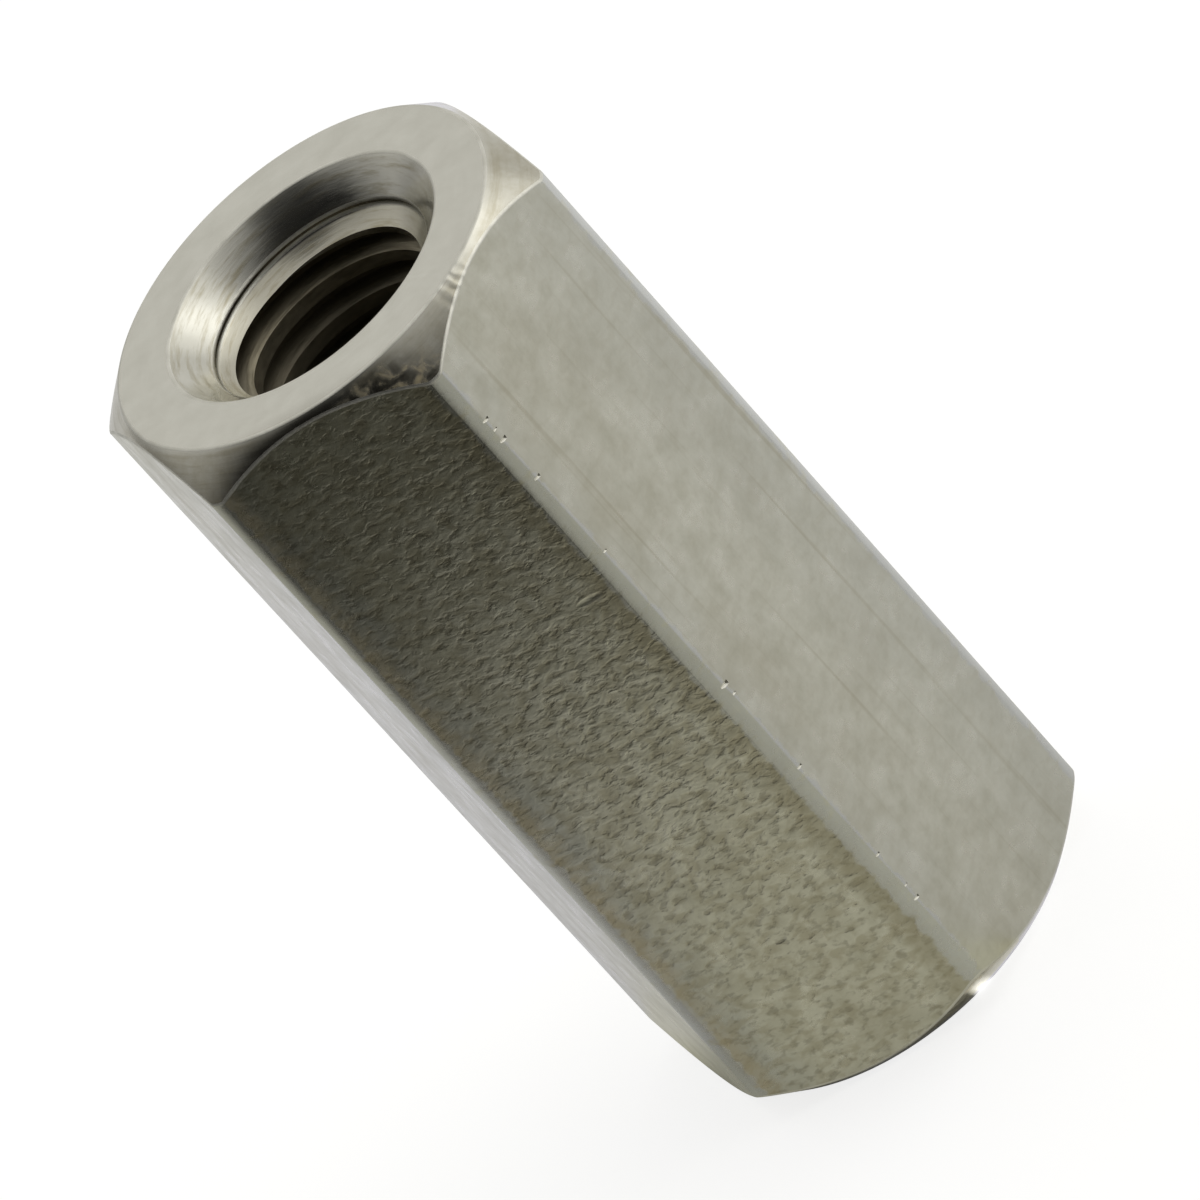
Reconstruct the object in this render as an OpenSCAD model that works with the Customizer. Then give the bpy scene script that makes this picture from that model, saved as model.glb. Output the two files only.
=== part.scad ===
// Hex standoff with an M3 thread tapped right through it, turned from drawn hexagonal bar.
// Sizes are in millimetres. The part stands on one end, with the middle of that end at the origin and its
// bore along +Z. Two corners of the hexagon lie on the X axis, and two flats face along Y.

/* [Bar] */
// Distance across the flats of the drawn bar
across_flats = 5.5; // [5:0.1:10]
// Length of the standoff from end face to end face
length = 12; // [5:0.5:60]
// Radius of the rounding that drawing leaves along the six corners
corner_radius = 0.15; // [0.05:0.01:0.5]

/* [Ends] */
// How far the rim of the turned end face lies inside the flats
rim_inset = 0.1; // [0.05:0.01:0.3]
// Angle between the turned chamfer and the end face, in degrees
chamfer_angle = 45; // [25:1:60]

/* [Bore] */
// Diameter inside the crests of the M3 x 0.5 thread
bore_d = 2.6; // [2:0.05:3.2]
// Width of the countersink all round the bore, seen from its end
countersink_width = 0.625; // [0.2:0.025:0.7]
// Included angle of the countersink, in degrees
countersink_angle = 90; // [60:1:120]

/* [Hidden] */
$fn = 96;

// Colour of the bright metal
metal_colour = [0.72, 0.71, 0.68];

// The bar has six sides, and a full turn of its corners' rounding would have this many points
sides = 6;
rounding_fn = 48;

// Distance from the axis to a flat, to a sharp corner and to the centre of a corner's rounding
flat_reach = across_flats / 2;
sharp_reach = flat_reach / cos(180 / sides);
rounding_reach = sharp_reach - corner_radius / cos(180 / sides);

// Rim radius of the end face, and how far the chamfer rises before it is clear of the corners
rim_r = flat_reach - rim_inset;
chamfer_rise = (sharp_reach - rim_r) * tan(chamfer_angle);

// Radius of the bore, radius of the countersink's mouth and its depth below the end face
bore_r = bore_d / 2;
mouth_r = bore_r + countersink_width;
countersink_depth = countersink_width / tan(countersink_angle / 2);

// How far a cut runs past the face that it opens, and how far the countersink widens over that length
overrun = 0.5;
overrun_flare = overrun * tan(countersink_angle / 2);

// Section of the drawn bar: a smaller hexagon grown to size, which rounds its corners
module bar_section() {
    offset(r = corner_radius, $fn = rounding_fn)
        circle(r = rounding_reach, $fn = sides);
}

// The space between the two end faces and inside their chamfers
module turned_envelope() {
    rotate_extrude()
        polygon([
            [0, 0],
            [rim_r, 0],
            [sharp_reach, chamfer_rise],
            [sharp_reach, length - chamfer_rise],
            [rim_r, length],
            [0, length]
        ]);
}

// What the drill and the two countersinks take out
module through_bore() {
    rotate_extrude()
        polygon([
            [0, -overrun],
            [mouth_r + overrun_flare, -overrun],
            [bore_r, countersink_depth],
            [bore_r, length - countersink_depth],
            [mouth_r + overrun_flare, length + overrun],
            [0, length + overrun]
        ]);
}

module standoff() {
    color(metal_colour)
        difference() {
            intersection() {
                translate([0, 0, -overrun])
                    linear_extrude(length + 2 * overrun)
                        bar_section();
                turned_envelope();
            }
            through_bore();
        }
}

standoff();
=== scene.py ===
"""Hex standoff with a tapped bore: its body, its finishes and a small studio."""

import math

import bmesh
import bpy
from bpy.props import (
    EnumProperty,
    FloatProperty,
    FloatVectorProperty,
    IntProperty,
    PointerProperty,
)
from mathutils import Matrix, Vector


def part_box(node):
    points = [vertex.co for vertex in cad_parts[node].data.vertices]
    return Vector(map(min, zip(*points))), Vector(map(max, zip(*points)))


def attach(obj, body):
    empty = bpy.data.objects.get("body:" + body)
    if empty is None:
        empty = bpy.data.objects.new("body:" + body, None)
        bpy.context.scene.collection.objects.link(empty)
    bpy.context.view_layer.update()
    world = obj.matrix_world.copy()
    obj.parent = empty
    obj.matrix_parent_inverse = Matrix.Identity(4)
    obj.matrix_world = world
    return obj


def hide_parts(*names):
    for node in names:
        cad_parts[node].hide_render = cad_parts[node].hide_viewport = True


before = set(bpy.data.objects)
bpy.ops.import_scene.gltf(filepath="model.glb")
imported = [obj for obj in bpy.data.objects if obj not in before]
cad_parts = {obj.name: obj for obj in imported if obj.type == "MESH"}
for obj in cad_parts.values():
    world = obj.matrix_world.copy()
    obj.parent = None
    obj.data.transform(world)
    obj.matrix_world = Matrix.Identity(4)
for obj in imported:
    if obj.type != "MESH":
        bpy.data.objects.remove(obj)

bl_info = {
    "name": "Hex Standoff",
    "version": (1, 0, 0),
    "blender": (4, 5, 0),
    "location": "View3D > Sidebar > Standoff",
    "description": "Models a tapped hex standoff, its finishes and a small studio",
    "category": "Mesh",
}

NODE = "standoff"
BODY = "root"

MM = 0.001
MICRON = 1e-6
BAR_LOW, BAR_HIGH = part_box(NODE)
MIDDLE = (BAR_LOW + BAR_HIGH) / 2
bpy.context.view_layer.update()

# The bar's sides, and half the angle that each takes up
SIDES = 6
HALF_SIDE = math.pi / SIDES
# Roundness of the lands along the corners, and the steps across one
LAND_PROFILE = 0.36
LAND_STEPS = 8
# How far a tool runs past the face that it cuts, and how far the lathe's blank clears the corners
OVERRUN = 0.5 * MM
BLANK_MARGIN = 1.02
# Angle of the drill's point in degrees, and the fillet that its shoulder leaves
DRILL_POINT = 118
STEP_FILLET = 0.035 * MM
# Half the angle of the thread's form, and the part of a pitch that is flat at its root
FLANK_ANGLE = math.radians(30)
ROOT_FLAT = 1 / 8
# Turns of the tap past each end
SPARE_TURNS = 2
# Points closer than this are merged
MERGE = 0.1 * MICRON
# Edges sharper than this are broken, in so many steps, and edges flatter than this shaded smooth
SHARP_EDGE = math.radians(30)
EDGE_STEPS = 3
SMOOTH_ANGLE = math.radians(28)

# The way that a nick's brighter wall faces
GLINT = Vector((0.649, -0.246, 0.72))
# Each nick's height, distance from the sharp corner, half length and depth, in millimetres
NICKS = (
    (10.65, 0.13, 0.050, 0.022),
    (10.47, 0.14, 0.034, 0.013),
    (10.30, 0.13, 0.056, 0.026),
    (9.62, 0.13, 0.050, 0.022),
    (8.27, 0.14, 0.030, 0.012),
    (5.83, 0.13, 0.064, 0.032),
    (5.65, 0.15, 0.030, 0.013),
    (4.30, 0.14, 0.042, 0.018),
    (2.67, 0.13, 0.036, 0.016),
    (2.09, 0.14, 0.028, 0.012),
    (1.86, 0.13, 0.046, 0.022),
)
# Each dent's place in X and Z, half its width and half its height, in millimetres
DENTS = ((1.15, 7.87, 0.19, 0.055), (0.02, 2.37, 0.1, 0.06))
DENT_DEPTH = 0.01 * MM
# The ball that presses a dent: how deep it is, and its facets round and up
DENT_TOOL_DEPTH = 0.1 * MM
DENT_TOOL_STEPS = (72, 36)

# Chatter marks: waves to a radian, how much they stray, the bearings in degrees where they rise and
# where they fade, and the height in millimetres that they lie above
CHATTER_WAVES = 105
CHATTER_WANDER = 9.0
CHATTER_FROM = (-48, -42)
CHATTER_TO = (-30, -36)
CHATTER_ABOVE = (11.0, 11.2)

# Azimuth and elevation of the softbox, in degrees
LAMP_BEARING = (31, 38)


class StandoffSizes(bpy.types.PropertyGroup):
    """Sizes of the standoff. The bar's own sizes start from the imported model."""

    across_flats: FloatProperty(
        name="Across flats",
        description="Distance between two opposite flats of the bar",
        default=BAR_HIGH.y - BAR_LOW.y,
        unit="LENGTH",
        precision=5,
    )
    length: FloatProperty(
        name="Length",
        description="Distance between the two end faces",
        default=BAR_HIGH.z - BAR_LOW.z,
        unit="LENGTH",
        precision=5,
    )
    corner_land: FloatProperty(
        name="Corner land",
        description="How far the band that the die rubs along a corner reaches onto each flat",
        default=0.12 * MM,
        unit="LENGTH",
        precision=5,
    )
    rim_inset: FloatProperty(
        name="Rim inset",
        description="How far the rim of an end face lies inside the flats",
        default=0.1 * MM,
        unit="LENGTH",
        precision=5,
    )
    mouth_diameter: FloatProperty(
        name="Countersink mouth",
        description="Diameter of a countersink at its end face",
        default=3.85 * MM,
        unit="LENGTH",
        precision=5,
    )
    step_diameter: FloatProperty(
        name="Countersink step",
        description="Diameter of the small step that the drill's shoulder leaves in a countersink",
        default=3.08 * MM,
        unit="LENGTH",
        precision=5,
    )
    bore_diameter: FloatProperty(
        name="Bore",
        description="Diameter inside the crests of the thread",
        default=2.6 * MM,
        unit="LENGTH",
        precision=5,
    )
    thread_diameter: FloatProperty(
        name="Thread",
        description="Diameter at the roots of the thread, which a tap cuts a little over size",
        default=3.04 * MM,
        unit="LENGTH",
        precision=5,
    )
    pitch: FloatProperty(
        name="Pitch",
        description="Distance from one turn of the thread to the next",
        default=0.5 * MM,
        unit="LENGTH",
        precision=5,
    )
    thread_hand: EnumProperty(
        name="Thread hand",
        description="Which way a screw turns to go in",
        items=[
            ("RIGHT", "Right hand", "Goes in clockwise"),
            ("LEFT", "Left hand", "Goes in anticlockwise"),
        ],
        default="RIGHT",
    )
    thread_start: FloatProperty(
        name="Thread start",
        description="How far the thread is turned round the bore",
        default=math.radians(152),
        subtype="ANGLE",
    )
    edge_break: FloatProperty(
        name="Edge break",
        description="Width of the rounding where two turned or drawn faces meet",
        default=0.025 * MM,
        unit="LENGTH",
        precision=6,
    )
    turning_steps: IntProperty(
        name="Turning steps",
        description="Facets round the turned ends and the countersinks",
        default=240,
        min=48,
        max=360,
    )
    thread_steps: IntProperty(
        name="Thread steps",
        description="Facets round one turn of the thread",
        default=96,
        min=24,
        max=144,
    )


class StandoffFinishes(bpy.types.PropertyGroup):
    """Colours and depths of the metal finishes."""

    metal: FloatVectorProperty(
        name="Drawn metal",
        description="Colour of the drawn flats where they are clean",
        subtype="COLOR",
        size=3,
        min=0,
        max=1,
        default=(0.675, 0.665, 0.575),
    )
    dull: FloatVectorProperty(
        name="Dull drawn metal",
        description="Colour of the drawn flats where they are dull",
        subtype="COLOR",
        size=3,
        min=0,
        max=1,
        default=(0.545, 0.535, 0.445),
    )
    burnished: FloatVectorProperty(
        name="Burnished corners",
        description="Colour of the corners that the die has rubbed smooth",
        subtype="COLOR",
        size=3,
        min=0,
        max=1,
        default=(0.56, 0.57, 0.565),
    )
    turned: FloatVectorProperty(
        name="Turned metal",
        description="Colour of the freshly cut faces",
        subtype="COLOR",
        size=3,
        min=0,
        max=1,
        default=(0.66, 0.65, 0.59),
    )
    turned_dull: FloatVectorProperty(
        name="Dull turned metal",
        description="Colour of the cut faces where they are duller",
        subtype="COLOR",
        size=3,
        min=0,
        max=1,
        default=(0.6, 0.59, 0.53),
    )
    cool: FloatVectorProperty(
        name="Cool drawn metal",
        description="Colour of the greyer skin that runs along one side of each corner",
        subtype="COLOR",
        size=3,
        min=0,
        max=1,
        default=(0.5, 0.505, 0.465),
    )
    rubbed: FloatVectorProperty(
        name="Rubbed metal",
        description="Colour of broken edges, nicks and dents, where bare metal shows",
        subtype="COLOR",
        size=3,
        min=0,
        max=1,
        default=(0.72, 0.71, 0.65),
    )
    golden: FloatVectorProperty(
        name="Golden stain",
        description="Colour of the straw-coloured spots on the chamfers",
        subtype="COLOR",
        size=3,
        min=0,
        max=1,
        default=(0.6, 0.5, 0.3),
    )
    stain: FloatVectorProperty(
        name="Stain",
        description="Colour of the brown film in the wrinkles and on the chamfers",
        subtype="COLOR",
        size=3,
        min=0,
        max=1,
        default=(0.36, 0.325, 0.225),
    )
    # The thread's colour further in from the mouths, where it is darker
    inner_thread: FloatVectorProperty(
        name="Oiled thread",
        description="Colour of the thread's crests and flanks",
        subtype="COLOR",
        size=3,
        min=0,
        max=1,
        default=(0.4, 0.36, 0.265),
    )
    # Also the painted shade deep in the bore and the painted dark reflection on the chamfer over
    # the front flat
    grime_and_shade: FloatVectorProperty(
        name="Thread grime",
        description="Colour of the thread's roots",
        subtype="COLOR",
        size=3,
        min=0,
        max=1,
        default=(0.15, 0.13, 0.09),
    )
    peel_depth: FloatProperty(
        name="Peel depth",
        description="Depth of the fine wrinkles on the drawn flats",
        default=13 * MICRON,
        unit="LENGTH",
        precision=7,
    )
    drawn_roughness: FloatProperty(
        name="Drawn roughness",
        description="Roughness of the drawn flats",
        default=0.3,
        subtype="FACTOR",
        min=0,
        max=1,
    )
    turned_roughness: FloatProperty(
        name="Turned roughness",
        description="Roughness of the turned faces",
        default=0.2,
        subtype="FACTOR",
        min=0,
        max=1,
    )


class StudioSettings(bpy.types.PropertyGroup):
    """The camera's place, and how bright the studio is."""

    azimuth: FloatProperty(
        name="Azimuth",
        description="Where the camera stands, counted from the X axis",
        default=math.radians(-66.753),
        subtype="ANGLE",
    )
    elevation: FloatProperty(
        name="Elevation",
        description="How far the camera stands above the horizon",
        default=math.radians(30.654),
        subtype="ANGLE",
    )
    roll: FloatProperty(
        name="Roll",
        description="How far the camera is turned clockwise about its own axis",
        default=math.radians(42.141),
        subtype="ANGLE",
    )
    distance: FloatProperty(
        name="Distance",
        description="How far the camera stands from the point that it looks at",
        default=182.56 * MM,
        unit="LENGTH",
    )
    aim: FloatVectorProperty(
        name="Aim",
        description="The point that the camera looks at",
        default=(0.052 * MM, 0.024 * MM, 6.003 * MM),
        size=3,
        subtype="TRANSLATION",
        precision=6,
    )
    lens: FloatProperty(
        name="Lens",
        description="Focal length in millimetres on a sensor 36 mm wide",
        default=460.65,
    )
    floor_colour: FloatVectorProperty(
        name="Floor",
        description="Colour of the floor",
        subtype="COLOR",
        size=3,
        min=0,
        max=1,
        default=(0.86, 0.86, 0.85),
    )
    key_power: FloatProperty(
        name="Key light",
        description="Radiance of the large softbox",
        default=0.3,
    )


def only(piece):
    """Makes the piece the one selected and active object."""
    bpy.ops.object.select_all(action="DESELECT")
    piece.select_set(True)
    bpy.context.view_layer.objects.active = piece
    return piece


def pick(piece, mode, test):
    """Selects what passes the test in edit mode, by vertices, edges or faces."""
    bpy.ops.mesh.select_mode(type=mode)
    bpy.ops.mesh.select_all(action="DESELECT")
    mesh = bmesh.from_edit_mesh(piece.data)
    parts = {"VERT": mesh.verts, "EDGE": mesh.edges, "FACE": mesh.faces}[mode]
    for part in parts:
        if test(part):
            part.select_set(True)
    mesh.select_flush_mode()
    bmesh.update_edit_mesh(piece.data)


def settle(piece):
    """Puts the piece's place, turn and size into its mesh."""
    only(piece)
    bpy.ops.object.transform_apply(location=True, rotation=True, scale=True)
    return piece


def apply_modifier(piece, kind, **settings):
    """Adds a modifier to the piece and applies it."""
    only(piece)
    modifier = piece.modifiers.new(kind.title(), kind)
    for key, value in settings.items():
        setattr(modifier, key, value)
    bpy.ops.object.modifier_apply(modifier=modifier.name)


def work(piece, tool, operation):
    """Cuts the piece with a tool, which leaves its own finish, and puts the tool away."""
    apply_modifier(
        piece,
        "BOOLEAN",
        object=tool,
        operation=operation,
        solver="EXACT",
        material_mode="TRANSFER",
    )
    bpy.data.objects.remove(tool, do_unlink=True)


def leans(edge, axis_part):
    """True for an edge that runs along the bar's axis to at least this part of its length."""
    along = edge.verts[1].co - edge.verts[0].co
    return along.length > 0 and abs(along.z) / along.length > axis_part


def drawn_bar(sizes, finish):
    """A length of hexagonal bar with its corners rounded by the die."""
    bpy.ops.object.select_all(action="DESELECT")
    bpy.ops.mesh.primitive_cylinder_add(
        vertices=SIDES,
        radius=sizes.across_flats / 2 / math.cos(HALF_SIDE),
        depth=sizes.length + 2 * OVERRUN,
        location=(0, 0, sizes.length / 2),
        rotation=(0, 0, HALF_SIDE),
    )
    bar = settle(bpy.context.active_object)
    bar.name = bar.data.name = "standoff_body"
    bar.data.materials.append(finish)
    bpy.ops.object.mode_set(mode="EDIT")
    pick(bar, "EDGE", lambda edge: leans(edge, 0.9))
    bpy.ops.mesh.bevel(
        affect="EDGES",
        offset_type="OFFSET",
        offset=sizes.corner_land,
        segments=LAND_STEPS,
        profile=LAND_PROFILE,
    )
    bpy.ops.object.mode_set(mode="OBJECT")
    return bar


def lathe_envelope(sizes, finish):
    """What the lathe leaves room for: a round blank with a 45 degree chamfer at each end."""
    reach = sizes.across_flats / 2 / math.cos(HALF_SIDE) * BLANK_MARGIN
    rim = sizes.across_flats / 2 - sizes.rim_inset
    bpy.ops.object.select_all(action="DESELECT")
    bpy.ops.mesh.primitive_cylinder_add(
        vertices=sizes.turning_steps,
        radius=reach,
        depth=sizes.length,
        location=(0, 0, sizes.length / 2),
    )
    blank = settle(bpy.context.active_object)
    blank.data.materials.append(finish)
    bpy.ops.object.mode_set(mode="EDIT")
    pick(blank, "EDGE", lambda edge: not leans(edge, 0.5))
    bpy.ops.mesh.bevel(
        affect="EDGES", offset_type="OFFSET", offset=reach - rim, segments=1
    )
    bpy.ops.object.mode_set(mode="OBJECT")
    return blank


def turned_tool(points, finish, steps, turns=1, rise=0.0, hand=1):
    """Turns an outline of (radius, height) points about the bore's axis, rising for a thread."""
    bpy.ops.object.select_all(action="DESELECT")
    bpy.ops.mesh.primitive_plane_add(size=1 * MM, location=(0, 0, 0))
    tool = settle(bpy.context.active_object)
    tool.data.materials.append(finish)
    bpy.ops.object.mode_set(mode="EDIT")
    bpy.ops.mesh.select_mode(type="VERT")
    bpy.ops.mesh.select_all(action="SELECT")
    bpy.ops.mesh.merge(type="CENTER")
    bpy.ops.transform.translate(value=(points[0][0], 0, points[0][1]))
    for here, there in zip(points, points[1:]):
        bpy.ops.mesh.extrude_region_move(
            TRANSFORM_OT_translate={
                "value": (there[0] - here[0], 0, there[1] - here[1])
            }
        )
    bpy.ops.object.mode_set(mode="OBJECT")
    apply_modifier(
        tool,
        "SCREW",
        axis="Z",
        angle=hand * math.tau,
        screw_offset=rise,
        iterations=turns,
        steps=steps,
        render_steps=steps,
        use_merge_vertices=True,
        merge_threshold=MERGE,
        use_smooth_shade=False,
    )
    bpy.ops.object.mode_set(mode="EDIT")
    bpy.ops.mesh.select_all(action="SELECT")
    bpy.ops.mesh.remove_doubles(threshold=MERGE)
    bpy.ops.mesh.normals_make_consistent(inside=False)
    bpy.ops.object.mode_set(mode="OBJECT")
    return tool


def countersink(sizes, finish, end):
    """A 90 degree countersink at the lower (-1) or upper (+1) end, with a drill shoulder's step."""
    mouth, step, bore = (
        size / 2
        for size in (sizes.mouth_diameter, sizes.step_diameter, sizes.bore_diameter)
    )
    slope = math.tan(math.radians(90 - DRILL_POINT / 2))

    def shoulder_depth(radius):
        return mouth - bore - (radius - bore) * slope

    inner = step - STEP_FILLET
    outline = (
        (0, -OVERRUN),
        (mouth + OVERRUN, -OVERRUN),
        (step, mouth - step),
        (step, shoulder_depth(inner) - STEP_FILLET),
        (inner, shoulder_depth(inner)),
        (0, shoulder_depth(0)),
    )
    face = sizes.length if end > 0 else 0
    points = [(radius, face - end * depth) for radius, depth in outline]
    return turned_tool(points, finish, sizes.turning_steps)


def thread_form(sizes):
    """One pitch of the tap's outline as (radius, height), from mid crest to mid crest."""
    crest_r, root_r = sizes.bore_diameter / 2, sizes.thread_diameter / 2
    flank = (root_r - crest_r) * math.tan(FLANK_ANGLE)
    root = sizes.pitch * ROOT_FLAT
    crest = sizes.pitch - root - 2 * flank
    return [
        (crest_r, 0),
        (crest_r, crest / 2),
        (root_r, crest / 2 + flank),
        (root_r, crest / 2 + flank + root),
        (crest_r, sizes.pitch - crest / 2),
        (crest_r, sizes.pitch),
    ]


def tap(sizes, finish):
    """A tap as long as the bore and a little more, whose turns cut the thread."""
    turns = math.ceil(sizes.length / sizes.pitch) + 2 * SPARE_TURNS
    low = -SPARE_TURNS * sizes.pitch
    cutter = turned_tool(
        [(radius, low + height) for radius, height in thread_form(sizes)],
        finish,
        sizes.thread_steps,
        turns,
        sizes.pitch,
        1 if sizes.thread_hand == "RIGHT" else -1,
    )
    bpy.ops.object.mode_set(mode="EDIT")
    for is_end in (
        lambda edge: edge.is_boundary and edge.verts[0].co.z < sizes.length / 2,
        lambda edge: edge.is_boundary and edge.verts[0].co.z > sizes.length / 2,
    ):
        pick(cutter, "EDGE", is_end)
        bpy.ops.mesh.extrude_region_move()
        bpy.ops.mesh.merge(type="CENTER")
    bpy.ops.mesh.select_all(action="SELECT")
    bpy.ops.mesh.normals_make_consistent(inside=False)
    bpy.ops.object.mode_set(mode="OBJECT")
    cutter.rotation_euler.z = sizes.thread_start
    return settle(cutter)


def break_edges(piece, width, finish):
    """Rounds the piece's sharp edges, and gives the roundings a finish of their own."""
    only(piece)
    piece.data.materials.append(finish)
    bpy.ops.object.mode_set(mode="EDIT")
    bpy.ops.mesh.select_mode(type="EDGE")
    bpy.ops.mesh.select_all(action="DESELECT")
    bpy.ops.mesh.edges_select_sharp(sharpness=SHARP_EDGE)
    bpy.ops.mesh.bevel(
        affect="EDGES",
        offset_type="OFFSET",
        offset=width,
        segments=EDGE_STEPS,
        profile=0.5,
        material=piece.data.materials.find(finish.name),
    )
    bpy.ops.object.mode_set(mode="OBJECT")


def punches(sizes, bare, skin):
    """Small tools for one corner's nicks, which leave bare metal, and the front flat's dents."""
    flat = sizes.across_flats / 2
    corner = Vector((flat * math.tan(HALF_SIDE), -flat, 0))
    along_flat = Vector((math.sin(HALF_SIDE), math.cos(HALF_SIDE), 0))
    flat_normal = Vector((math.cos(HALF_SIDE), -math.sin(HALF_SIDE), 0))
    tools = []
    bright = GLINT.normalized()
    valley = bright.cross(flat_normal).normalized()
    hidden = valley.cross(bright)
    turn = Matrix((hidden, valley, bright)).transposed().to_euler()
    for height, across, half_length, depth in NICKS:
        half_size = depth * MM
        reach = half_size * (hidden.dot(flat_normal) + bright.dot(flat_normal))
        place = corner + along_flat * across * MM + Vector((0, 0, height * MM))
        bpy.ops.object.select_all(action="DESELECT")
        bpy.ops.mesh.primitive_cube_add(
            size=2.0,
            location=place + flat_normal * (reach - half_size),
            rotation=turn,
            scale=(half_size, half_length * MM, half_size),
        )
        tool = settle(bpy.context.active_object)
        tool.data.materials.append(bare)
        tools.append(tool)
    lift = DENT_TOOL_DEPTH - DENT_DEPTH
    narrowing = math.sqrt(1 - (lift / DENT_TOOL_DEPTH) ** 2)
    for x, z, half_width, half_height in DENTS:
        bpy.ops.object.select_all(action="DESELECT")
        bpy.ops.mesh.primitive_uv_sphere_add(
            segments=DENT_TOOL_STEPS[0],
            ring_count=DENT_TOOL_STEPS[1],
            radius=1.0,
            location=(x * MM, -flat - lift, z * MM),
            scale=(
                half_width * MM / narrowing,
                DENT_TOOL_DEPTH,
                half_height * MM / narrowing,
            ),
        )
        tool = settle(bpy.context.active_object)
        tool.data.materials.append(skin)
        tools.append(tool)
    bpy.ops.object.select_all(action="DESELECT")
    for tool in tools:
        tool.select_set(True)
    bpy.context.view_layer.objects.active = tools[0]
    bpy.ops.object.join()
    return tools[0]


def crisp_dents(piece, flat):
    """Marks the dents' rims sharp, so that the flat round them keeps its own shading."""
    slack = 0.01
    reach = max(abs(x) + half_width for x, z, half_width, half_height in DENTS) + slack
    low = min(z - half_height for x, z, half_width, half_height in DENTS) - slack
    high = max(z + half_height for x, z, half_width, half_height in DENTS) + slack

    def is_rim(edge):
        return all(
            abs(vert.co.y + flat) < MICRON
            and abs(vert.co.x) < reach * MM
            and low * MM < vert.co.z < high * MM
            for vert in edge.verts
        )

    only(piece)
    bpy.ops.object.mode_set(mode="EDIT")
    pick(piece, "EDGE", is_rim)
    bpy.ops.mesh.mark_sharp()
    bpy.ops.object.mode_set(mode="OBJECT")


def check_closed(piece):
    """Stops the script if the piece has an open edge or is inside out."""
    mesh = bmesh.new()
    mesh.from_mesh(piece.data)
    open_edges = sum(not edge.is_manifold for edge in mesh.edges)
    volume = mesh.calc_volume(signed=True)
    mesh.free()
    if open_edges or volume <= 0:
        raise RuntimeError(
            f"{piece.name}: {open_edges} open edges, volume {volume / MM ** 3:.2f} mm3"
        )


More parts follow.
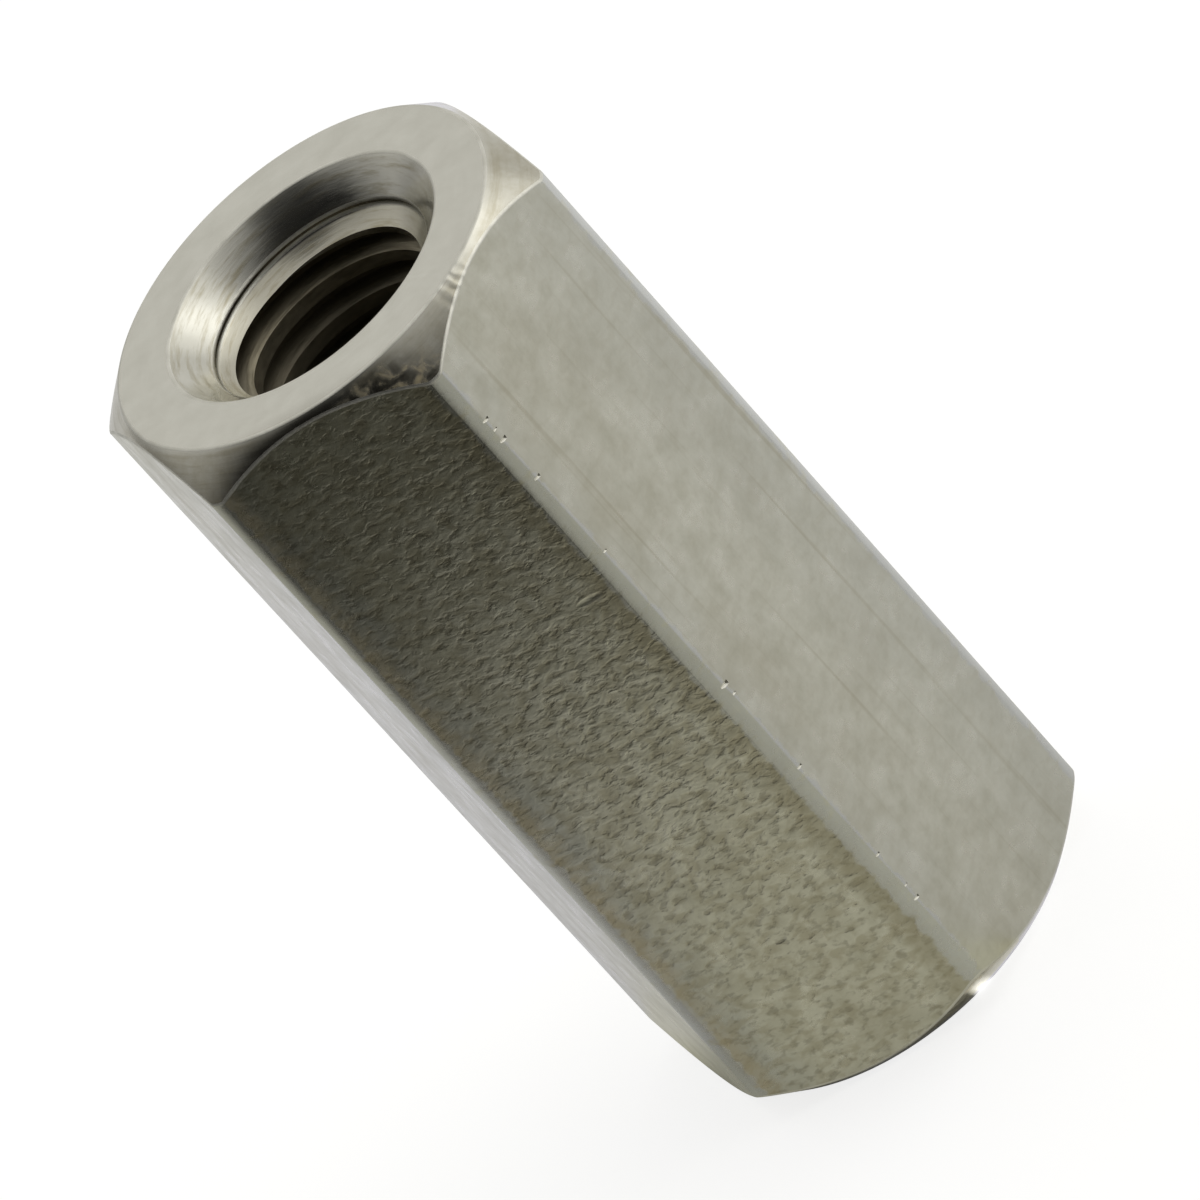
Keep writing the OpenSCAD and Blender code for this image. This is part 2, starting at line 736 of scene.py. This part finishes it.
class Bench:
    """Adds nodes to a material or world, and links them."""

    def __init__(self, owner):
        owner.use_nodes = True
        self.tree = owner.node_tree
        self.tree.nodes.clear()

    def node(self, kind, inputs=None, **settings):
        """Adds one node, whose inputs are sockets or values."""
        node = self.tree.nodes.new("ShaderNode" + kind)
        for key, value in settings.items():
            setattr(node, key, value)
        for key, value in (inputs or {}).items():
            if isinstance(value, bpy.types.NodeSocket):
                self.tree.links.new(value, node.inputs[key])
            else:
                node.inputs[key].default_value = value
        return node

    def sized(self, scale):
        """Object coordinates in millimetres, times a scale for each axis."""
        place = self.node("TexCoord").outputs["Object"]
        return self.node(
            "Mapping", {"Vector": place, "Scale": [s / MM for s in scale]}
        ).outputs["Vector"]

    def place(self):
        """A point's X, Y and Z in millimetres."""
        return self.node("SeparateXYZ", {"Vector": self.sized((1, 1, 1))}).outputs

    def noise(self, scale, detail=2.0, roughness=0.5, vector=None, **inputs):
        """Soft noise, with about as many grains to the millimetre as the scale says."""
        values = {
            "Vector": vector or self.sized(scale),
            "Scale": 1.0,
            "Detail": detail,
            "Roughness": roughness,
        }
        values.update(inputs)
        return self.node("TexNoise", values).outputs["Fac"]

    def maths(self, operation, first, second=None, third=None, clamp=False):
        inputs = {0: first}
        if second is not None:
            inputs[1] = second
        if third is not None:
            inputs[2] = third
        return self.node(
            "Math", inputs, operation=operation, use_clamp=clamp
        ).outputs[0]

    def times(self, first, second, clamp=False):
        return self.maths("MULTIPLY", first, second, clamp=clamp)

    def fade(self, value, at_none, at_full):
        """Goes from one number to another as the value goes from 0 to 1."""
        return self.maths("MULTIPLY_ADD", value, at_full - at_none, at_none)

    def stray(self, value, noise, amount):
        """Lets a noise shift the value to either side, by half the amount at most."""
        return self.maths("ADD", value, self.fade(noise, -amount / 2, amount / 2))

    def spread(self, value, low, high, to_low=0.0, to_high=1.0, smooth=False):
        """Maps a value between two limits to another range."""
        return self.node(
            "MapRange",
            {
                "Value": value,
                "From Min": low,
                "From Max": high,
                "To Min": to_low,
                "To Max": to_high,
            },
            interpolation_type="SMOOTHSTEP" if smooth else "LINEAR",
        ).outputs["Result"]

    def blend(self, factor, first, second):
        """Mixes two colours."""
        node = self.node("Mix", {"Factor": factor}, data_type="RGBA")
        for socket, value in ((node.inputs[6], first), (node.inputs[7], second)):
            if isinstance(value, bpy.types.NodeSocket):
                self.tree.links.new(value, socket)
            else:
                socket.default_value = (*value[:3], 1)
        return node.outputs[2]

    def bump(self, height, depth, normal=None):
        """Bends the normal as a relief of this depth would."""
        inputs = {"Height": height, "Distance": depth, "Strength": 1.0}
        if normal is not None:
            inputs["Normal"] = normal
        return self.node("Bump", inputs).outputs["Normal"]

    def radius(self):
        """Distance from the bore's axis in millimetres."""
        place = self.place()
        flat = self.node("CombineXYZ", {"X": place["X"], "Y": place["Y"]}).outputs[0]
        return self.node("VectorMath", {0: flat}, operation="LENGTH").outputs["Value"]

    def turn(self):
        """Bearing of a point about the bore's axis, in radians."""
        place = self.place()
        return self.maths("ARCTAN2", place["Y"], place["X"])

    def across_flat(self):
        """How far a point lies across its flat, from 0 at one corner to 1 at the next."""
        return self.maths("FRACT", self.times(self.turn(), SIDES / math.tau))

    def below_end(self):
        """How far a point lies inside the nearer end face, in millimetres."""
        height = self.place()["Z"]
        length = (BAR_HIGH.z - BAR_LOW.z) / MM
        return self.maths("MINIMUM", height, self.maths("SUBTRACT", length, height))

    def chatter(self):
        """Short waves that the lathe left on the narrowest stretch of one upper chamfer."""
        turn = self.turn()
        wander = self.times(self.noise((3, 3, 3)), CHATTER_WANDER)
        wave = self.maths("SINE", self.maths("MULTIPLY_ADD", turn, CHATTER_WAVES, wander))
        stretch = self.times(
            self.spread(turn, *map(math.radians, CHATTER_FROM)),
            self.spread(turn, *map(math.radians, CHATTER_TO)),
        )
        above = self.spread(self.place()["Z"], *CHATTER_ABOVE)
        return self.times(wave, self.times(stretch, above))

    def toward(self, way, azimuth, elevation):
        """How squarely a direction points at this bearing: 1 is straight at it."""
        return self.node(
            "VectorMath",
            {0: way, 1: bearing(azimuth, elevation)},
            operation="DOT_PRODUCT",
        ).outputs["Value"]

    def metal(self, colour, roughness, normal, metallic=1.0):
        """Ends a material in metal, or in metal under a film where it is less metallic."""
        surface = self.node(
            "BsdfPrincipled",
            {
                "Base Color": colour,
                "Metallic": metallic,
                "Roughness": roughness,
                "Normal": normal,
            },
        )
        self.node("OutputMaterial", {"Surface": surface.outputs["BSDF"]})


def drawn_finish(finishes):
    """The bar's skin: wrinkles across the flats, draw lines along them, and rubbed corner lands."""
    material = bpy.data.materials.new("drawn_bar_skin")
    bench = Bench(material)
    place = bench.place()
    share = bench.across_flat()

    # The front flat is coarse and the others are calm
    front = BAR_LOW.y / MM
    coarse = bench.spread(place["Y"], front + 0.005, front + 0.05, 1.0, 0.0)
    calm = bench.fade(coarse, 1.0, 0.0)

    mottle = bench.noise((2.6, 2.6, 2.1), detail=4.0, roughness=0.62)
    patches = bench.noise((1.1, 1.1, 0.8))
    wander = bench.noise((4.0, 4.0, 5.0), detail=3.0, roughness=0.6)
    lines = bench.noise((8, 8, 0.16))
    wrinkle = bench.noise((4.8, 4.8, 7.2), detail=2.2, roughness=0.48, Distortion=0.4)
    specks = bench.noise((7.0, 7.0, 11.0), detail=2.5, roughness=0.55, Distortion=0.3)
    grain = bench.noise((20, 20, 20))

    # Where the die rubs the corners, with a ragged edge, and where the skin is pitted
    ragged = bench.stray(bench.radius(), wander, 0.12)
    corner = bench.spread(ragged, 3.095, 3.125, smooth=True)
    pits = bench.times(coarse, bench.spread(specks, 0.52, 0.32, smooth=True), clamp=True)

    # From dull to clean, tarnished in patches
    colour = bench.blend(bench.spread(mottle, 0.3, 0.68), finishes.dull, finishes.metal)
    tarnish = bench.spread(patches, 0.45, 0.75, 0.0, 0.22)
    colour = bench.blend(tarnish, colour, finishes.stain)
    # Cooler along one side of each flat, and on the calm flats a little along the other
    drift = bench.stray(share, patches, 0.4)
    beside = bench.times(
        bench.spread(drift, 0.05, 0.25, 0.85, 0.0, smooth=True),
        bench.fade(coarse, 0.2, 1.0),
    )
    colour = bench.blend(beside, colour, finishes.cool)
    opposite = bench.times(calm, bench.spread(drift, 0.45, 1.0, 0.0, 0.4))
    colour = bench.blend(opposite, colour, finishes.cool)
    # Stained in the wrinkles, dark in the pits, and brown along the draw lines
    valley = bench.times(
        bench.spread(wrinkle, 0.58, 0.34, 0.0, 0.46, smooth=True),
        bench.fade(coarse, 0.25, 1.0),
    )
    colour = bench.blend(valley, colour, finishes.stain)
    colour = bench.blend(bench.times(pits, 0.34), colour, finishes.grime_and_shade)
    scratch = bench.times(calm, bench.spread(lines, 0.62, 0.72, 0.0, 0.3))
    colour = bench.blend(scratch, colour, finishes.stain)
    # A brown margin along both corners of the front flat
    fringe = bench.stray(share, wander, 0.14)
    margin = bench.times(coarse, bench.spread(fringe, 0.86, 0.93, 0.0, 0.5, smooth=True))
    colour = bench.blend(margin, colour, finishes.stain)
    left_margin = bench.times(coarse, bench.spread(fringe, 0.13, 0.03, smooth=True))
    colour = bench.blend(bench.times(left_margin, 0.4), colour, finishes.golden)
    rubbed = bench.times(corner, bench.spread(wander, 0.3, 0.7, 1.0, 0.6))
    colour = bench.blend(rubbed, colour, finishes.burnished)

    swing = 0.05
    rough = bench.spread(
        mottle,
        0.3,
        0.7,
        finishes.drawn_roughness + swing,
        finishes.drawn_roughness - swing,
    )
    rough = bench.maths("MULTIPLY_ADD", corner, -0.04, rough)

    # The relief is gentler towards the top and the left, on the lands and on the calm flats
    relief = bench.maths(
        "SUBTRACT", bench.maths("SUBTRACT", wrinkle, 0.5), bench.times(pits, 0.22)
    )
    gentle = bench.times(
        bench.spread(place["Z"], 5.0, 8.5, 1.0, 0.66),
        bench.spread(share, 0.1, 0.45, 0.65, 1.0),
    )
    strength = bench.times(bench.fade(corner, 1.0, 0.4), bench.fade(coarse, 0.45, 1.0))
    relief = bench.times(bench.times(relief, gentle), strength)
    normal = bench.bump(lines, 2 * MICRON)
    normal = bench.bump(relief, finishes.peel_depth, normal)
    normal = bench.bump(grain, 0.6 * MICRON, normal)
    bench.metal(colour, rough, normal, bench.fade(left_margin, 1.0, 0.8))
    return material


def turned_finish(finishes):
    """Faces cut on the lathe: rings about the bore's axis, finest on the end faces."""
    material = bpy.data.materials.new("turned_metal")
    bench = Bench(material)
    place = bench.place()
    radius = bench.radius()

    # Noise that is fine from ring to ring and long round the axis
    across, around = 15.0, 2.2
    ring_place = bench.node(
        "CombineXYZ",
        {
            "X": bench.times(radius, across),
            "Y": bench.times(bench.maths("DIVIDE", place["X"], radius), around),
            "Z": bench.times(bench.maths("DIVIDE", place["Y"], radius), around),
        },
    ).outputs[0]
    rings = bench.noise(None, vector=ring_place, detail=4.0, roughness=0.65)
    mottle = bench.noise((2.5, 2.5, 2.5), detail=3.0)
    blotches = bench.noise((3.4, 3.4, 3.4), detail=4.0, roughness=0.65)
    spots = bench.noise((6, 6, 6), Distortion=0.4)

    # The cones, which are all but the end faces, then the chamfers, and the sink and its ledge
    cone = bench.spread(bench.below_end(), 0.0, 0.05, smooth=True)
    chamfer = bench.spread(radius, 2.66, 2.72)
    in_sink = bench.spread(radius, 2.1, 1.9)
    ledge = bench.spread(radius, 1.56, 1.5, 0.0, 0.4)
    # The chamfer over the front flat, and its part by the near corner
    by_front = bench.spread(place["Y"], -2.36, -2.66, smooth=True)
    by_corner = bench.times(
        bench.spread(place["X"], 0.3, 0.9, smooth=True), bench.times(chamfer, by_front)
    )

    colour = bench.blend(
        bench.spread(mottle, 0.3, 0.7), finishes.turned_dull, finishes.turned
    )
    stained = bench.times(chamfer, bench.spread(blotches, 0.4, 0.66, 0.22, 0.54))
    colour = bench.blend(stained, colour, finishes.stain)
    # Painted dark reflection on the chamfer over the front flat
    colour = bench.blend(bench.times(by_front, 0.25), colour, finishes.grime_and_shade)
    gold = bench.times(by_corner, bench.spread(spots, 0.47, 0.72, 0.0, 0.7, smooth=True))
    colour = bench.blend(gold, colour, finishes.golden)
    dark = bench.times(by_corner, bench.spread(spots, 0.52, 0.32, 0.0, 0.7, smooth=True))
    colour = bench.blend(dark, colour, finishes.grime_and_shade)
    streaks = bench.times(
        bench.times(cone, bench.spread(rings, 0.48, 0.68, 0.0, 0.4)),
        bench.fade(in_sink, 1.0, 2.0),
    )
    colour = bench.blend(streaks, colour, finishes.stain)
    colour = bench.blend(ledge, colour, finishes.stain)

    rough = bench.spread(
        rings,
        0.3,
        0.7,
        finishes.turned_roughness - 0.05,
        finishes.turned_roughness + 0.06,
    )
    depth = bench.maths(
        "MULTIPLY_ADD", cone, bench.spread(radius, 1.95, 2.7, 1.7, 0.7), 0.5
    )
    normal = bench.bump(bench.times(rings, depth), 1 * MICRON)
    normal = bench.bump(bench.chatter(), 1.5 * MICRON, normal)
    bench.metal(colour, rough, normal, bench.fade(gold, 1.0, 0.1))
    return material


def thread_finish(finishes):
    """The tapped thread: lighter at the mouths and darker further in, with painted shade deep in
    the bore, and tap marks.
    """
    material = bpy.data.materials.new("tapped_thread")
    bench = Bench(material)
    place = bench.place()
    radius = bench.radius()
    below = bench.below_end()

    # Marks that run along the turns of the thread
    around = bench.times(radius, 0.35)
    marks_place = bench.node(
        "CombineXYZ",
        {
            "X": bench.maths("DIVIDE", place["X"], around),
            "Y": bench.maths("DIVIDE", place["Y"], around),
            "Z": bench.maths("MULTIPLY_ADD", place["Z"], 7.0, bench.times(radius, 20.0)),
        },
    ).outputs[0]
    marks = bench.noise(None, vector=marks_place, detail=3.0, roughness=0.6)
    mottle = bench.noise((4, 4, 4), detail=3.0)
    in_root = bench.spread(radius, 1.32, 1.48)
    deep = bench.spread(below, 0.75, 1.6, 0.0, 0.65, smooth=True)

    # Lighter at the mouths, darker further in
    further_in = bench.spread(below, 0.6, 0.85)
    colour = bench.blend(further_in, finishes.turned_dull, finishes.inner_thread)
    # Darker in the roots, and darker still deeper in the bore as painted shade
    colour = bench.blend(bench.maths("MAXIMUM", in_root, deep), colour, finishes.grime_and_shade)
    colour = bench.blend(bench.spread(marks, 0.42, 0.62, 0.0, 0.7), colour, finishes.grime_and_shade)
    rough = bench.spread(mottle, 0.3, 0.7, 0.33, 0.47)
    normal = bench.bump(marks, 4 * MICRON)
    bench.metal(colour, rough, normal, bench.spread(below, 0.75, 1.2, 1.0, 0.5))
    return material


def rubbed_finish(finishes):
    """Broken edges and nicks: bare metal, beaded along the edges."""
    material = bpy.data.materials.new("rubbed_metal")
    bench = Bench(material)
    beads = bench.noise((11, 11, 11))
    patches = bench.noise((2.4, 2.4, 2.4), detail=3.0)
    colour = bench.blend(
        bench.spread(patches, 0.35, 0.65), finishes.turned_dull, finishes.rubbed
    )
    rough = bench.spread(beads, 0.3, 0.7, 0.38, 0.48)
    normal = bench.bump(beads, 2.5 * MICRON)
    normal = bench.bump(bench.chatter(), 3 * MICRON, normal)
    bench.metal(colour, rough, normal)
    return material


class STANDOFF_OT_make_body(bpy.types.Operator):
    """Turns, countersinks and taps the standoff from drawn hexagonal bar"""

    bl_idname = "standoff.make_body"
    bl_label = "Make Standoff"

    def execute(self, context):
        sizes = context.scene.standoff_sizes
        finishes = context.scene.standoff_finishes
        turned = turned_finish(finishes)
        threaded = thread_finish(finishes)
        rubbed = rubbed_finish(finishes)
        drawn = drawn_finish(finishes)
        body = drawn_bar(sizes, drawn)
        work(body, lathe_envelope(sizes, turned), "INTERSECT")
        for end in (-1, 1):
            work(body, countersink(sizes, turned, end), "DIFFERENCE")
        break_edges(body, sizes.edge_break, rubbed)
        work(body, punches(sizes, rubbed, drawn), "DIFFERENCE")
        work(body, tap(sizes, threaded), "DIFFERENCE")
        only(body)
        bpy.ops.object.shade_smooth_by_angle(angle=SMOOTH_ANGLE)
        crisp_dents(body, sizes.across_flats / 2)
        apply_modifier(
            body,
            "WEIGHTED_NORMAL",
            mode="FACE_AREA",
            weight=50,
            keep_sharp=True,
        )
        check_closed(body)
        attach(body, BODY)
        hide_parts(NODE)
        return {"FINISHED"}


def camera_turn(azimuth, elevation, roll):
    """The camera's turn, and the direction from the standoff to the camera."""
    back = Vector(
        (
            math.cos(azimuth) * math.cos(elevation),
            math.sin(azimuth) * math.cos(elevation),
            math.sin(elevation),
        )
    )
    right = Vector((0, 0, 1)).cross(back).normalized()
    up = back.cross(right)
    upright = Matrix((right, up, back)).transposed()
    return upright @ Matrix.Rotation(-roll, 3, "Z"), back


def bearing(azimuth, elevation):
    """A direction of length 1, from its azimuth and elevation in degrees."""
    a, e = math.radians(azimuth), math.radians(elevation)
    return Vector(
        (math.cos(a) * math.cos(e), math.sin(a) * math.cos(e), math.sin(e))
    )


def softbox(name, way, distance, size, radiance):
    """An area light aimed at the standoff's middle, as bright as asked wherever it is seen."""
    lamp = bpy.data.lights.new(name, "AREA")
    lamp.shape = "RECTANGLE"
    lamp.size, lamp.size_y = size
    lamp.energy = radiance * math.pi * size[0] * size[1]
    holder = bpy.data.objects.new(name, lamp)
    bpy.context.collection.objects.link(holder)
    holder.location = MIDDLE + way * distance
    holder.rotation_euler = way.to_track_quat("Z", "Y").to_euler()
    holder.visible_camera = False


class STANDOFF_OT_make_stage(bpy.types.Operator):
    """Sets up the pale floor, the soft studio light and the camera"""

    bl_idname = "standoff.make_stage"
    bl_label = "Make Stage"

    def execute(self, context):
        studio = context.scene.standoff_studio
        self.floor(studio)
        self.dark_reflection_card()
        self.surround()
        softbox(
            "key_softbox",
            bearing(*LAMP_BEARING),
            400 * MM,
            (140 * MM, 120 * MM),
            studio.key_power,
        )
        self.camera(context, studio)
        context.scene.view_settings.view_transform = "Standard"
        return {"FINISHED"}

    @staticmethod
    def floor(studio):
        """A pale floor that keeps the shadow, and glows at its own level where metal mirrors it, a
        painted reflection.
        """
        # It lies a little below the standoff, so that their faces don't share a plane
        bpy.ops.object.select_all(action="DESELECT")
        bpy.ops.mesh.primitive_plane_add(size=4.0, location=(0, 0, -2 * MICRON))
        floor = settle(bpy.context.active_object)
        floor.name = "floor"
        material = bpy.data.materials.new("pale_floor")
        bench = Bench(material)
        mottle = bench.noise((0.03, 0.03, 0.03), detail=3.0)
        pale = studio.floor_colour
        colour = bench.blend(
            bench.spread(mottle, 0.3, 0.7), [c * 0.98 for c in pale], pale
        )
        ray = bench.node("LightPath").outputs
        seen = ray["Is Camera Ray"]
        mirrored = bench.maths(
            "MAXIMUM", ray["Is Glossy Ray"], ray["Is Transmission Ray"]
        )
        direct = bench.maths("MAXIMUM", seen, mirrored)
        shown = bench.blend(bench.times(direct, 0.5), colour, (0, 0, 0))

        # The mirrored level, a glow painted for reflections only, rises from the front to the back
        place = bench.place()
        level = bench.spread(place["Y"], -16.0, 20.0, 0.25, 0.66, smooth=True)
        # Near the lower rim: painted contact shadow under the front flat, painted highlight from
        # the corner on
        near = bench.spread(bench.radius(), 2.72, 2.9, 1.0, 0.0)
        right = bench.spread(place["X"], 1.22, 1.32)
        shade = bench.times(near, bench.maths("SUBTRACT", 1.0, right))
        level = bench.times(level, bench.fade(shade, 1.0, 0.18))
        rim = bench.times(near, right)
        level = bench.maths(
            "MULTIPLY_ADD", rim, bench.spread(place["X"], 1.4, 1.52, 1.2, 0.25), level
        )
        # Painted reflection: to the left it is a little lighter and bluer, and further out darker
        left = bench.spread(place["X"], -3.0, -3.6)
        lift = bench.times(left, bench.spread(place["X"], -4.5, -11.0, 0.18, 0.02))
        level = bench.times(level, bench.maths("ADD", lift, 1.0))
        level = bench.times(level, bench.spread(place["X"], -13.0, -20.0, 1.0, 0.62))
        blue = bench.times(left, bench.spread(place["X"], -13.0, -16.0, 1.0, 0.0))
        blue = bench.maths("MAXIMUM", blue, rim)
        tint = bench.blend(blue, (1, 1, 1), (0.98, 0.985, 1.12))
        glow = bench.maths("MULTIPLY_ADD", seen, 0.8, bench.times(mirrored, level))

        paper = bench.node("BsdfDiffuse", {"Color": shown}).outputs[0]
        white = bench.node(
            "Emission", {"Color": bench.blend(seen, tint, (1, 1, 1)), "Strength": glow}
        ).outputs[0]
        both = bench.node("AddShader", {0: paper, 1: white}).outputs[0]
        bench.node("OutputMaterial", {"Surface": both})
        floor.data.materials.append(material)

    @staticmethod
    def dark_reflection_card():
        """A dark sheet with feathered edges before the standoff, which only reflections show: a
        painted dark reflection in its front faces.
        """
        swing = math.radians(-23.3)
        reach = 110 * MM
        bpy.ops.object.select_all(action="DESELECT")
        bpy.ops.mesh.primitive_plane_add(size=reach, location=(0, 0, 0))
        card = bpy.context.active_object
        card.name = "dark_reflection_card"
        card.rotation_euler.z = swing
        outward = Vector((math.sin(swing), -math.cos(swing), 0))
        card.location = outward * (reach / 2 + 1 * MM) + Vector((0, 0, 0.1 * MM))
        settle(card)
        material = bpy.data.materials.new("painted_dark_reflection")
        bench = Bench(material)
        turned = bench.node(
            "Mapping", {"Vector": bench.sized((1, 1, 1)), "Rotation": (0, 0, -swing)}
        ).outputs[0]
        place = bench.node("SeparateXYZ", {"Vector": turned}).outputs
        # How far out a point lies, and how far to the side for each millimetre out
        out = bench.times(place["Y"], -1.0)
        aside = bench.maths("ABSOLUTE", bench.maths("DIVIDE", place["X"], out))
        gap = bench.times(
            bench.spread(out, 6.5, 21.5, 0.9, 0.02, smooth=True),
            bench.spread(place["X"], -1.6, 1.6, 0.78, 1.22),
        )
        share = bench.times(
            bench.maths("SUBTRACT", 1.0, gap, clamp=True),
            bench.spread(aside, 0.4, 1.7, 1.0, 0.0, smooth=True),
        )
        # The sheet's dark colour is a painted reflection of dark surroundings before the standoff
        sheet_grain = bench.noise((3, 3, 3))
        colour = bench.blend(sheet_grain, (0.035, 0.035, 0.025), (0.056, 0.056, 0.04))
        dark_sheet = bench.node("BsdfDiffuse", {"Color": colour}).outputs[0]
        clear = bench.node("BsdfTransparent", {"Color": (1.0, 0.99, 0.86, 1)}).outputs[0]
        mixed = bench.node("MixShader", {0: share, 1: clear, 2: dark_sheet}).outputs[0]
        bench.node("OutputMaterial", {"Surface": mixed})
        card.data.materials.append(material)
        card.visible_camera = False
        card.visible_diffuse = False
        card.visible_shadow = False

    @staticmethod
    def surround():
        """The room: white to the camera, bright behind the standoff and dark before it."""
        world = bpy.data.worlds.new("studio_room")
        bpy.context.scene.world = world
        bench = Bench(world)
        way = bench.node("TexCoord").outputs["Generated"]
        behind = bench.toward(way, 87, 36)
        level = bench.maths(
            "MAXIMUM", bench.spread(behind, -0.74, 0.8, -0.82, 0.74, smooth=True), 0.01
        )
        by_lamp = bench.toward(way, *LAMP_BEARING)
        level = bench.maths("ADD", level, bench.spread(by_lamp, 0.86, 1.0, 0.0, 0.55))
        by_wall = bench.toward(way, -4, 4)
        level = bench.maths(
            "ADD", level, bench.spread(by_wall, 0.72, 0.97, 0.0, 1.3, smooth=True)
        )
        by_flag = bench.toward(way, -108, 62)
        level = bench.times(
            level, bench.spread(by_flag, 0.9, 0.994, 1.0, 0.25, smooth=True)
        )
        far_left = bench.toward(way, 140, 0)
        level = bench.times(
            level, bench.spread(far_left, 0.82, 0.98, 1.0, 0.66, smooth=True)
        )
        on_left = bench.toward(way, 180, 27)
        level = bench.maths(
            "ADD", level, bench.spread(on_left, 0.9, 0.99, 0.0, 0.09, smooth=True)
        )
        rise = bench.node("SeparateXYZ", {"Vector": way}).outputs["Z"]
        level = bench.maths("MAXIMUM", level, bench.spread(rise, 0.1, 0.5, 0.15, 0.01))
        room = bench.node(
            "Background", {"Color": (1.0, 0.99, 0.95, 1), "Strength": level}
        ).outputs[0]
        white = bench.node(
            "Background", {"Color": (1, 1, 1, 1), "Strength": 1.0}
        ).outputs[0]
        seen = bench.node("LightPath").outputs["Is Camera Ray"]
        mixed = bench.node("MixShader", {0: seen, 1: room, 2: white}).outputs[0]
        bench.node("OutputWorld", {"Surface": mixed})

    @staticmethod
    def camera(context, studio):
        lens = bpy.data.cameras.new("photo_camera")
        lens.sensor_width = 36
        lens.lens = studio.lens
        lens.clip_start = 1 * MM
        lens.clip_end = 10
        holder = bpy.data.objects.new("photo_camera", lens)
        context.collection.objects.link(holder)
        turn, back = camera_turn(studio.azimuth, studio.elevation, studio.roll)
        holder.rotation_euler = turn.to_euler()
        holder.location = Vector(studio.aim) + back * studio.distance
        context.scene.camera = holder


class STANDOFF_PT_panel(bpy.types.Panel):
    """Sizes, finishes and buttons of the standoff"""

    bl_idname = "STANDOFF_PT_panel"
    bl_label = "Hex Standoff"
    bl_space_type = "VIEW_3D"
    bl_region_type = "UI"
    bl_category = "Standoff"

    def draw(self, context):
        layout = self.layout
        for group in (
            context.scene.standoff_sizes,
            context.scene.standoff_finishes,
            context.scene.standoff_studio,
        ):
            box = layout.box()
            for key in group.bl_rna.properties.keys():
                if key not in {"rna_type", "name"}:
                    box.prop(group, key)
        layout.operator(STANDOFF_OT_make_body.bl_idname)
        layout.operator(STANDOFF_OT_make_stage.bl_idname)


CLASSES = (
    StandoffSizes,
    StandoffFinishes,
    StudioSettings,
    STANDOFF_OT_make_body,
    STANDOFF_OT_make_stage,
    STANDOFF_PT_panel,
)


def register():
    for cls in CLASSES:
        bpy.utils.register_class(cls)
    bpy.types.Scene.standoff_sizes = PointerProperty(type=StandoffSizes)
    bpy.types.Scene.standoff_finishes = PointerProperty(type=StandoffFinishes)
    bpy.types.Scene.standoff_studio = PointerProperty(type=StudioSettings)


def unregister():
    del bpy.types.Scene.standoff_studio
    del bpy.types.Scene.standoff_finishes
    del bpy.types.Scene.standoff_sizes
    for cls in reversed(CLASSES):
        bpy.utils.unregister_class(cls)


def main():
    register()
    bpy.ops.standoff.make_body()
    bpy.ops.standoff.make_stage()


if __name__ == "__main__":
    main()
